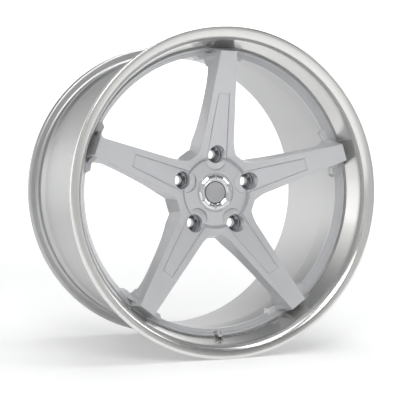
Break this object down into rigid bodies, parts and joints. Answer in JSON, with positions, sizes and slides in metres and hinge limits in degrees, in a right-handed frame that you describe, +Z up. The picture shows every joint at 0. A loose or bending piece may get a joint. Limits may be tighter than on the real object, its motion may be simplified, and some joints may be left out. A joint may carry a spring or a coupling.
{
  "type": "forged racing wheel rim",
  "caption": "Two-piece forged wheel rim with a deep polished lip, a painted five-spoke centre bolted in from behind, a centre cap and a tyre valve.",
  "frame": {"origin": "centre of the wheel on the axle line, midway between the two flange faces", "axes": "+Y along the axle from the street side toward the car, +Z up through spoke 1, valve on -Z"},
  "size_m": [0.5478, 0.3014, 0.5478],
  "materials": {
    "polished_barrel": "polished lip, satin barrel",
    "silver_paint": "hyper silver, semi-gloss",
    "zinc_steel": "zinc plated",
    "steel": "machined",
    "spring_steel": "drawn wire",
    "nickel_plate": "nickel plated",
    "chrome_trim": "bright",
    "satin_grey": "satin lacquered",
    "black_plastic": "moulded, fine grain",
    "grey_nylon": "moulded",
    "rubber": "moulded",
    "brass": "turned"
  },
  "bodies": {
    "rim": {"rim_barrel": "polished_barrel", "forged_centre": "silver_paint", "assembly_bolt_01": "zinc_steel", "assembly_bolt_02": "zinc_steel", "assembly_bolt_03": "zinc_steel", "assembly_bolt_04": "zinc_steel", "assembly_bolt_05": "zinc_steel", "assembly_bolt_06": "zinc_steel", "assembly_bolt_07": "zinc_steel", "assembly_bolt_08": "zinc_steel", "assembly_bolt_09": "zinc_steel", "assembly_bolt_10": "zinc_steel", "assembly_bolt_11": "zinc_steel", "assembly_bolt_12": "zinc_steel", "assembly_bolt_13": "zinc_steel", "assembly_bolt_14": "zinc_steel", "assembly_bolt_15": "zinc_steel", "assembly_bolt_16": "zinc_steel", "assembly_bolt_17": "zinc_steel", "assembly_bolt_18": "zinc_steel", "assembly_bolt_19": "zinc_steel", "assembly_bolt_20": "zinc_steel", "bolt_seat_insert_1": "steel", "bolt_seat_insert_2": "steel", "bolt_seat_insert_3": "steel", "bolt_seat_insert_4": "steel", "bolt_seat_insert_5": "steel", "hub_centring_ring": "grey_nylon", "valve_stem": "nickel_plate", "valve_washer": "steel", "valve_nut": "nickel_plate", "valve_grommet": "rubber", "valve_core_body": "brass", "valve_core_spring": "spring_steel"},
    "centre_cap": {"cap_body": "black_plastic", "cap_bezel": "chrome_trim", "cap_emblem_disc": "satin_grey", "cap_snap_ring": "spring_steel"},
    "core_pin": {"valve_core_pin": "brass"},
    "valve_cap_travel": {"valve_cap_seal": "rubber"},
    "valve_cap_shell": {"valve_cap": "nickel_plate"}
  },
  "joints": [
    {"name": "centre_cap_pull", "type": "slide", "parent": "rim", "child": "centre_cap", "axis": [0, -1, 0], "range_m": [0, 0.04]},
    {"name": "core_pin_press", "type": "slide", "parent": "rim", "child": "core_pin", "axis": [0, 0.9659, -0.2588], "range_m": [0, 0.0013], "stiffness_N_per_m": 400},
    {"name": "valve_cap_advance", "type": "slide", "parent": "rim", "child": "valve_cap_travel", "axis": [0, -0.9659, 0.2588], "range_m": [0, 0.012]},
    {"name": "valve_cap_turn", "type": "hinge", "parent": "valve_cap_travel", "child": "valve_cap_shell", "pos_m": [0, -0.0885, -0.2437], "axis": [0, -0.9659, 0.2588], "range_deg": [0, 5500]}
  ],
  "couplings": [
    {"joint": "valve_cap_turn", "follows": "valve_cap_advance", "rad_per_m": 7913.3}
  ]
}
